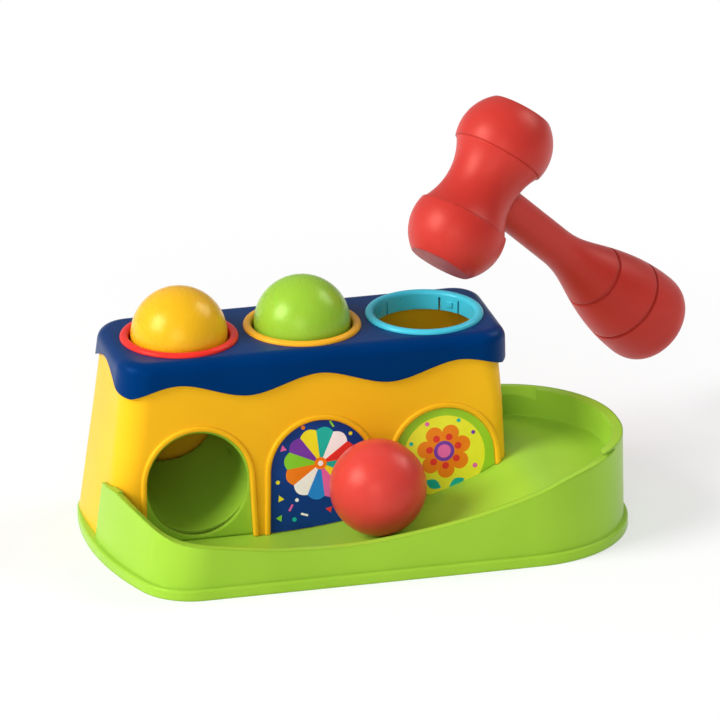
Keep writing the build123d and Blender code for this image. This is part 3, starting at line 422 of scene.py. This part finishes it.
flower.append(("teal", 1, turned(leaf, -65, LEAF_FOOT_X, LEAF_FOOT_Y)))
for ink, x, y, radius in [
    ("violet", -15, -4, 1.1),
    ("pink", 15, -5, 1.2),
    ("teal", -16, 8.5, 1.0),
    ("violet", 14.5, 11.5, 1.0),
    ("pink", -8, 17.5, 1.1),
    ("teal", 7.5, 18, 1.0),
]:
    flower.append((ink, 1, circle(x, y, radius, DOT_POINTS)))
print_on("label_print_flower",
         label_frame("label_right", RIGHT_LABEL_X, LABEL_Z), flower)

# The camera stands well back at the photograph's angle, about 14.5 degrees round to the left and
# 21.8 degrees up, with so long a lens that the view is all but parallel
CAMERA_RIGHT = Vector((0.9681, -0.2504, 0.0)).normalized()
CAMERA_UP = Vector((0.0930, 0.3595, 0.9285)).normalized()
CAMERA_BACK = Vector((-0.2325, -0.8989, 0.3714)).normalized()
CAMERA_AIM = Vector((28.4, 0.0, 72.6)) * MM
CAMERA_DISTANCE = 4.0
LENS_MM, SENSOR_MM = 420, 36
camera_data = bpy.data.cameras.new("photo_camera")
camera_data.lens = LENS_MM
camera_data.sensor_width = SENSOR_MM
camera = bpy.data.objects.new("photo_camera", camera_data)
bpy.context.scene.collection.objects.link(camera)
turn = Matrix((CAMERA_RIGHT, CAMERA_UP, CAMERA_BACK)).transposed().to_4x4()
camera.matrix_world = Matrix.Translation(CAMERA_AIM + CAMERA_BACK * CAMERA_DISTANCE) @ turn
bpy.context.scene.camera = camera

# White matt paper, as a floor. To the eye it is paper that keeps the object's soft shadow, and away
# from the object it runs out into plain white.
FLOOR_HALF = 6.0
FADE_START, FADE_END = 0.2, 0.44  # metres from the frame's origin
WHITE_NEAR, WHITE_FAR = 0.48, 1.0  # the share of plain white before and after the fade
floor_mesh = bpy.data.meshes.new("studio_floor")
corners = [(-1, -1), (1, -1), (1, 1), (-1, 1)]
floor_mesh.from_pydata([(x * FLOOR_HALF, y * FLOOR_HALF, 0) for x, y in corners], [], [(0, 1, 2, 3)])
floor = bpy.data.objects.new("studio_floor", floor_mesh)
bpy.context.scene.collection.objects.link(floor)
paper, tree = new_material("paper_backdrop_matt_white")
sheet = add_node(tree, "ShaderNodeBsdfDiffuse", {"Color": linear("#EEEEEE")})
glow = add_node(tree, "ShaderNodeEmission", {"Color": linear("#FFFFFF"), "Strength": 1.0})
path = add_node(tree, "ShaderNodeLightPath")
seen = add_node(
    tree, "ShaderNodeMath", {},
    {0: path.outputs["Is Camera Ray"], 1: path.outputs["Is Glossy Ray"]},
    operation="MAXIMUM")
seen_through = add_node(
    tree, "ShaderNodeMath", {},
    {0: seen.outputs["Value"], 1: path.outputs["Is Transmission Ray"]},
    operation="MAXIMUM")
place = add_node(tree, "ShaderNodeTexCoord").outputs["Object"]
away = add_node(tree, "ShaderNodeVectorMath", {}, {0: place}, operation="LENGTH")
fade = add_node(
    tree, "ShaderNodeMapRange",
    {"From Min": FADE_START, "From Max": FADE_END, "To Min": WHITE_NEAR, "To Max": WHITE_FAR},
    {"Value": away.outputs["Value"]},
    interpolation_type="SMOOTHSTEP")
white_share = add_node(
    tree, "ShaderNodeMath", {},
    {0: seen_through.outputs["Value"], 1: fade.outputs["Result"]},
    operation="MULTIPLY")
mix = add_node(
    tree, "ShaderNodeMixShader", {},
    {"Fac": white_share.outputs["Value"], 1: sheet.outputs["BSDF"], 2: glow.outputs["Emission"]})
add_node(tree, "ShaderNodeOutputMaterial", {}, {"Surface": mix.outputs["Shader"]})
floor_mesh.materials.append(paper)

# The studio is brighter to the left of the object than to its right
LEFT_LEVEL, RIGHT_LEVEL = 0.58, 0.22
world = bpy.data.worlds.new("studio_world")
bpy.context.scene.world = world
world.use_nodes = True
tree = world.node_tree
tree.nodes.clear()
direction = add_node(tree, "ShaderNodeTexCoord").outputs["Generated"]
side = add_node(tree, "ShaderNodeSeparateXYZ", {}, {"Vector": direction})
level = add_node(
    tree, "ShaderNodeMapRange",
    {"From Min": -1.0, "From Max": 1.0, "To Min": LEFT_LEVEL, "To Max": RIGHT_LEVEL},
    {"Value": side.outputs["X"]})
sky = add_node(
    tree, "ShaderNodeBackground",
    {"Color": linear("#FFFFFF")},
    {"Strength": level.outputs["Result"]})
add_node(tree, "ShaderNodeOutputWorld", {}, {"Surface": sky.outputs["Background"]})


def softbox(name, place, target_height, size, watts):
    """A square area lamp that faces a point above the toy's middle."""
    data = bpy.data.lights.new(name, "AREA")
    data.size = size
    data.energy = watts
    lamp = bpy.data.objects.new(name, data)
    bpy.context.scene.collection.objects.link(lamp)
    lamp.location = place
    facing = Vector((0.0, 0.0, target_height)) - Vector(place)
    lamp.rotation_euler = facing.to_track_quat("-Z", "Y").to_euler()


# A large one high on the left gives the form, and two weaker ones lift the right side and the front
softbox("key_softbox", (-2.45, -0.50, 1.75), target_height=0.06, size=1.5, watts=92)
softbox("right_softbox", (2.0, 0.3, 1.9), target_height=0.1, size=1.2, watts=24)
softbox("front_softbox", (-0.9, -2.5, 0.9), target_height=0.08, size=1.2, watts=16)

bpy.context.scene.view_settings.view_transform = "Standard"
